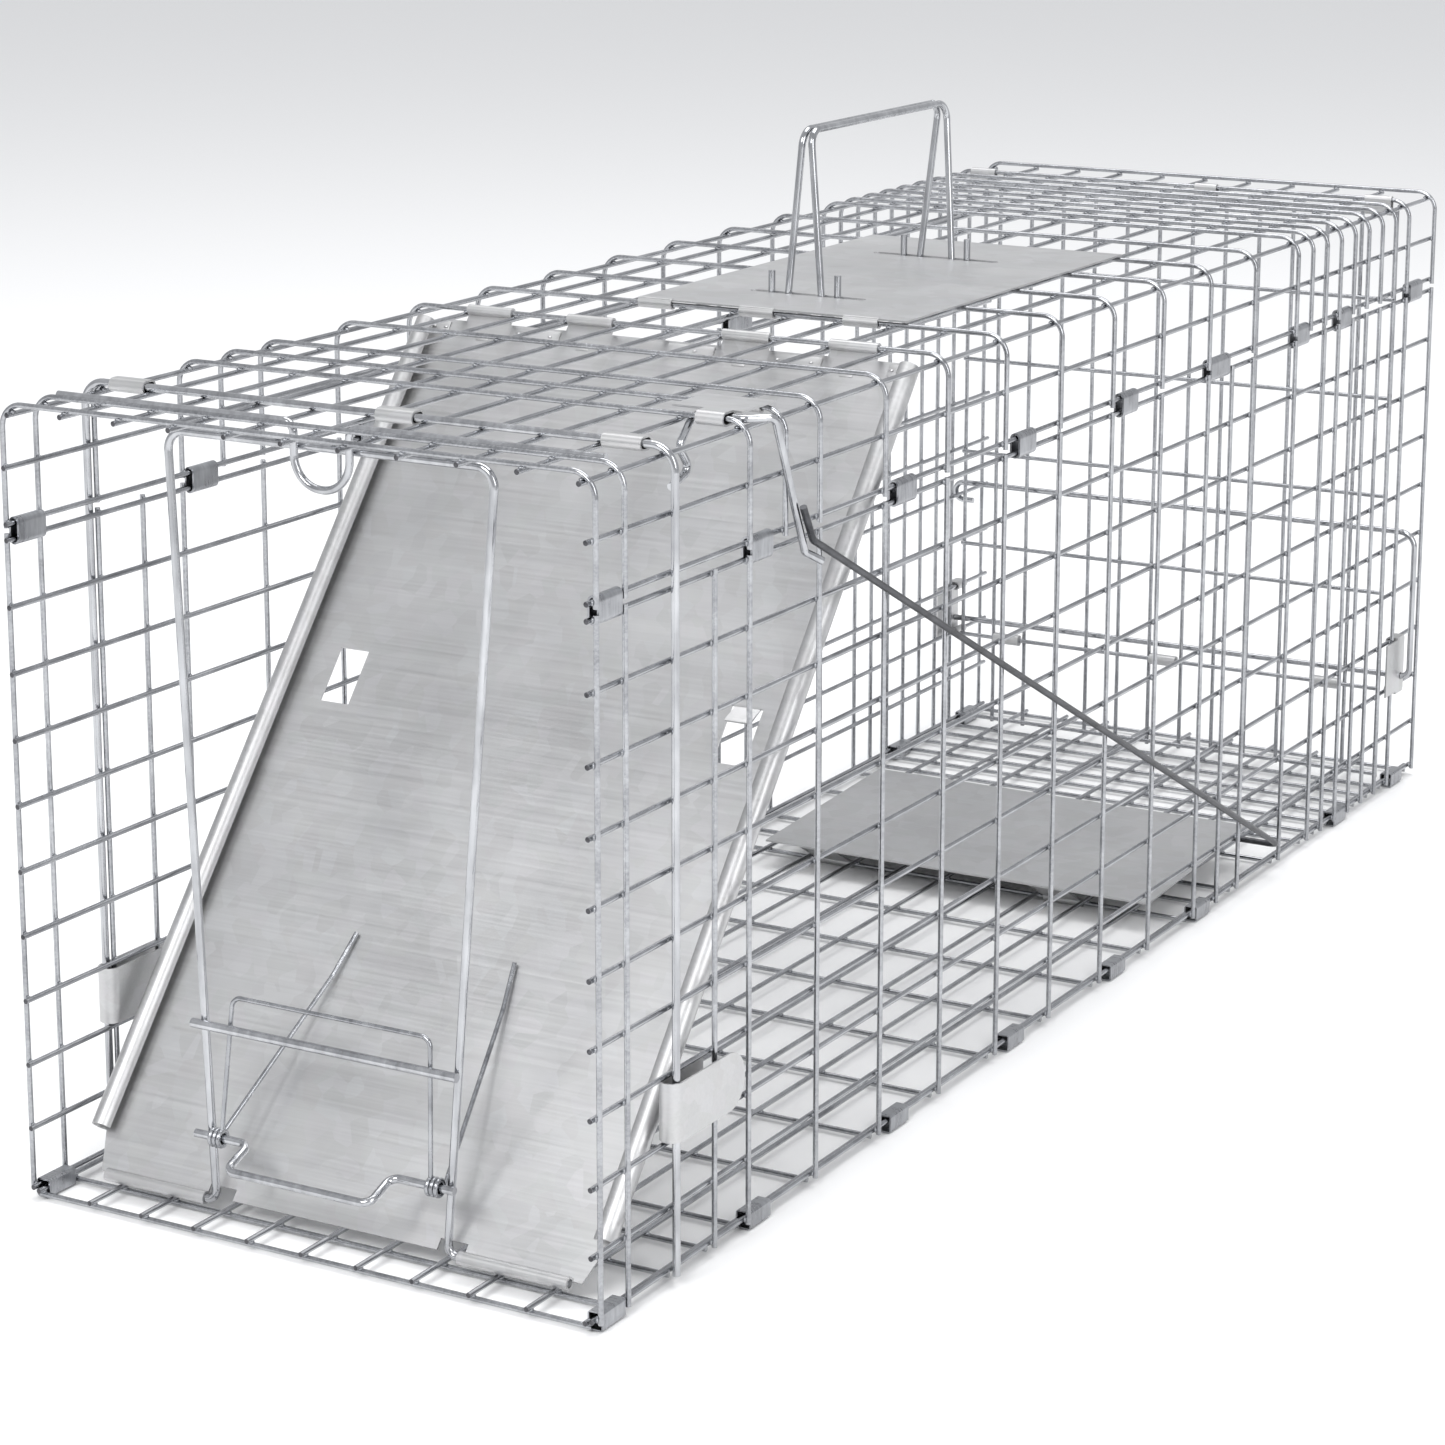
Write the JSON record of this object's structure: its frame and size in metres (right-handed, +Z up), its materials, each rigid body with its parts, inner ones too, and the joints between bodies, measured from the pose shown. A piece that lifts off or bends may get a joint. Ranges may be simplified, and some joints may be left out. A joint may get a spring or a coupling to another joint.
{
  "type": "live catch trap",
  "caption": "Welded wire cage trap with a sloping sheet door, lock frame, trip pan and link rod, roof handle and rod-locked rear door.",
  "frame": {"origin": "middle of the footprint on the ground, under the lowest clips", "axes": "+X to the right seen from the front, +Y along the cage from the front door to the rear door, +Z up"},
  "size_m": [0.2671, 0.8236, 0.381],
  "materials": {
    "mesh_wire": "bright zinc plated drawn wire, resistance welded at the crossings",
    "clip_steel": "zinc plated strip, folded and crimped",
    "bright_rod": "bright zinc plated round rod, cold bent",
    "sheet_steel": "satin galvanised sheet with fine rolling grain and bright rolled edges",
    "spring_steel": "zinc plated spring wire",
    "link_steel": "dull zinc plated rod, darker than the cage wires"
  },
  "bodies": {
    "cage": {"top_panel": "mesh_wire", "side_panel_left": "mesh_wire", "side_panel_right": "mesh_wire", "floor_panel": "mesh_wire", "front_frame_rod": "bright_rod", "frame_rod_sleeves": "sheet_steel", "stop_rod": "bright_rod", "seam_clips_left": "clip_steel", "seam_clips_right": "clip_steel", "floor_clips_left": "clip_steel", "floor_clips_right": "clip_steel", "side_guard_left": "sheet_steel", "side_guard_right": "sheet_steel", "handle_plate": "sheet_steel", "handle_wire_left": "bright_rod", "handle_wire_right": "bright_rod", "catch_bracket": "sheet_steel", "rear_keeper_left": "sheet_steel", "rear_keeper_right": "sheet_steel"},
    "door": {"door_plate": "sheet_steel"},
    "lock": {"lock_frame": "bright_rod", "lock_crossbar": "bright_rod", "finger_crank": "bright_rod", "lock_spring": "spring_steel"},
    "catch": {"trigger_catch": "bright_rod"},
    "link": {"link_rod": "link_steel"},
    "pan": {"trip_pan": "sheet_steel"},
    "rear_door": {"rear_door_mesh": "mesh_wire", "rear_door_hinge_sleeves": "sheet_steel", "rear_door_low_sleeves": "sheet_steel"},
    "rear_rod": {"rear_lock_rod": "bright_rod"}
  },
  "joints": [
    {"name": "door_swing", "type": "hinge", "parent": "cage", "child": "door", "pos_m": [0, -0.14613, 0.3081], "axis": [-1, 0, 0], "range_deg": [0, 0.8]},
    {"name": "lock_fold", "type": "hinge", "parent": "door", "child": "lock", "pos_m": [0, -0.39328, 0.0081], "axis": [-1, 0, 0], "range_deg": [0, 29], "deforming": ["lock_spring"]},
    {"name": "pan_tilt", "type": "hinge", "parent": "cage", "child": "pan", "pos_m": [0, 0.11702, 0.00195], "axis": [-1, 0, 0], "range_deg": [0, 3.5]},
    {"name": "catch_swing", "type": "hinge", "parent": "cage", "child": "catch", "pos_m": [0, -0.29968, 0.3078], "axis": [1, 0, 0], "range_deg": [0, 6.93]},
    {"name": "link_swing", "type": "hinge", "parent": "pan", "child": "link", "pos_m": [0, 0.20602, 0.01612], "axis": [1, 0, 0], "range_deg": [0, 2.38]},
    {"name": "rear_door_swing", "type": "hinge", "parent": "cage", "child": "rear_door", "pos_m": [0, 0.37188, 0.3081], "axis": [-1, 0, 0], "range_deg": [0, 40]},
    {"name": "rear_rod_swing", "type": "hinge", "parent": "cage", "child": "rear_rod", "pos_m": [0, 0.38072, 0.0605], "axis": [-1, 0, 0], "range_deg": [0, 12]}
  ],
  "couplings": [
    {"joint": "catch_swing", "follows": "pan_tilt", "ratio": 1.98},
    {"joint": "link_swing", "follows": "pan_tilt", "ratio": 0.68}
  ]
}
